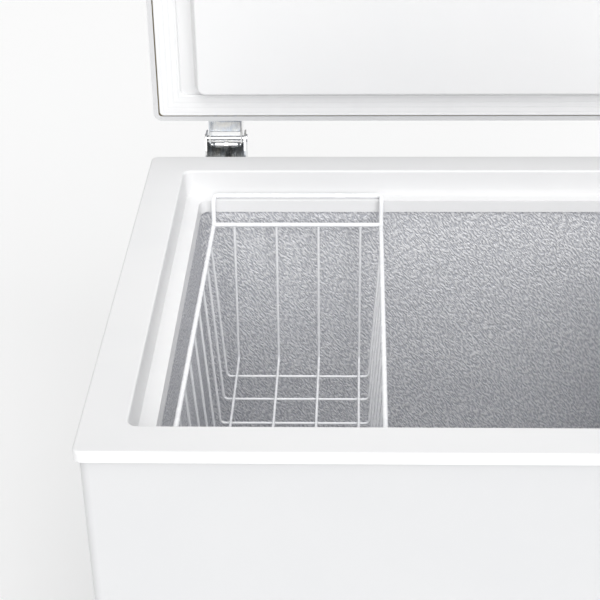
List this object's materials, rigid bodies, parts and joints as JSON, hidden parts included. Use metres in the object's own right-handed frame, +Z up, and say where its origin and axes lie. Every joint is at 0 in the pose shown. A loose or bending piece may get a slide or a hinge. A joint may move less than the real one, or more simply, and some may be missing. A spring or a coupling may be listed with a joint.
{
  "type": "chest freezer",
  "caption": "Compact chest freezer with a spring-hinged lid standing open, an embossed aluminium tank, a hanging wire basket, a drain, a thermostat knob and a compressor bay.",
  "frame": {"origin": "on the floor, under the middle of the bounding box of the freezer with its lid open", "axes": "+Z up, +Y from the front to the hinges at the rear, +X to the right seen from the front"},
  "size_m": [0.63, 0.6274, 1.4135],
  "materials": {
    "painted_steel": "satin",
    "galvanised_steel": "satin",
    "zinc_plated_steel": "gloss",
    "white_plastic": "satin",
    "grey_plastic": "matte",
    "black_plastic": "matte",
    "embossed_aluminium": "satin",
    "aluminium_tube": "satin",
    "copper": "satin",
    "coated_wire": "satin",
    "soft_gasket": "matte",
    "rubber_grey": "matte",
    "insulating_foam": "matte",
    "black_paint": "satin",
    "spring_steel": "satin",
    "signal_lens": "gloss"
  },
  "bodies": {
    "cabinet": {"cabinet_wrapper": "painted_steel", "rear_panel": "galvanised_steel", "base_pan": "galvanised_steel", "bay_liner": "galvanised_steel", "tank_walls": "embossed_aluminium", "tank_floor": "embossed_aluminium", "insulation_foam": "insulating_foam", "top_collar": "white_plastic", "evaporator_tube": "aluminium_tube", "condenser_tube": "copper", "drain_tube": "white_plastic", "compressor_shell": "black_paint", "compressor_mount": "black_paint", "compressor_grommets": "rubber_grey", "compressor_bolts": "zinc_plated_steel", "relay_cover": "black_plastic", "suction_pipe": "copper", "discharge_pipe": "copper", "filter_drier": "copper", "capillary_tube": "copper", "machine_cover": "galvanised_steel", "cover_screws": "zinc_plated_steel", "cord_gland": "black_plastic", "side_grille": "white_plastic", "control_bezel": "grey_plastic", "indicator_lights": "signal_lens", "thermostat_body": "black_plastic", "feet": "black_plastic", "foot_screws": "zinc_plated_steel", "hinge_bracket_left": "zinc_plated_steel", "hinge_bracket_right": "zinc_plated_steel", "hinge_pin_left": "zinc_plated_steel", "hinge_pin_right": "zinc_plated_steel", "hinge_spring_left": "spring_steel", "hinge_spring_right": "spring_steel", "bracket_screws": "zinc_plated_steel"},
    "lid": {"lid_shell": "painted_steel", "lid_liner": "white_plastic", "lid_foam": "insulating_foam", "lid_gasket": "soft_gasket", "lid_handle": "white_plastic", "handle_screws": "zinc_plated_steel", "hinge_arm_left": "zinc_plated_steel", "hinge_arm_right": "zinc_plated_steel", "arm_screws": "zinc_plated_steel", "spring_bar_left": "zinc_plated_steel", "spring_bar_right": "zinc_plated_steel"},
    "spring_rod_left": {"spring_rod_left": "zinc_plated_steel"},
    "spring_rod_right": {"spring_rod_right": "zinc_plated_steel"},
    "basket": {"basket_frame": "coated_wire", "basket_long_wires": "coated_wire", "basket_cross_wires": "coated_wire"},
    "thermostat_knob": {"thermostat_knob": "white_plastic"},
    "drain_plug": {"drain_plug": "rubber_grey"},
    "drain_cap": {"drain_cap": "white_plastic"}
  },
  "joints": [
    {"name": "lid_hinge", "type": "hinge", "parent": "cabinet", "child": "lid", "pos_m": [0, 0.2767, 0.8135], "axis": [1, 0, 0], "range_deg": [0, 90], "deforming": ["hinge_spring_left", "hinge_spring_right"]},
    {"name": "spring_rod_left_pivot", "type": "hinge", "parent": "lid", "child": "spring_rod_left", "pos_m": [-0.2325, 0.2767, 0.8055], "axis": [1, 0, 0], "range_deg": [-96, 0.5]},
    {"name": "spring_rod_right_pivot", "type": "hinge", "parent": "lid", "child": "spring_rod_right", "pos_m": [0.2325, 0.2767, 0.8055], "axis": [1, 0, 0], "range_deg": [-96, 0.5]},
    {"name": "basket_lift", "type": "slide", "parent": "cabinet", "child": "basket", "axis": [0, 0, 1], "range_m": [0, 0.3]},
    {"name": "thermostat_turn", "type": "hinge", "parent": "cabinet", "child": "thermostat_knob", "pos_m": [0.208, -0.2993, 0.15], "axis": [0, -1, 0], "range_deg": [0, 270]},
    {"name": "drain_plug_pull", "type": "slide", "parent": "cabinet", "child": "drain_plug", "axis": [0, 0, 1], "range_m": [0, 0.06]},
    {"name": "drain_cap_pull", "type": "slide", "parent": "cabinet", "child": "drain_cap", "axis": [0, -1, 0], "range_m": [0, 0.03]}
  ],
  "couplings": [
    {"joint": "spring_rod_left_pivot", "follows": "lid_hinge", "ratio": -1.0638},
    {"joint": "spring_rod_right_pivot", "follows": "lid_hinge", "ratio": -1.0638}
  ]
}
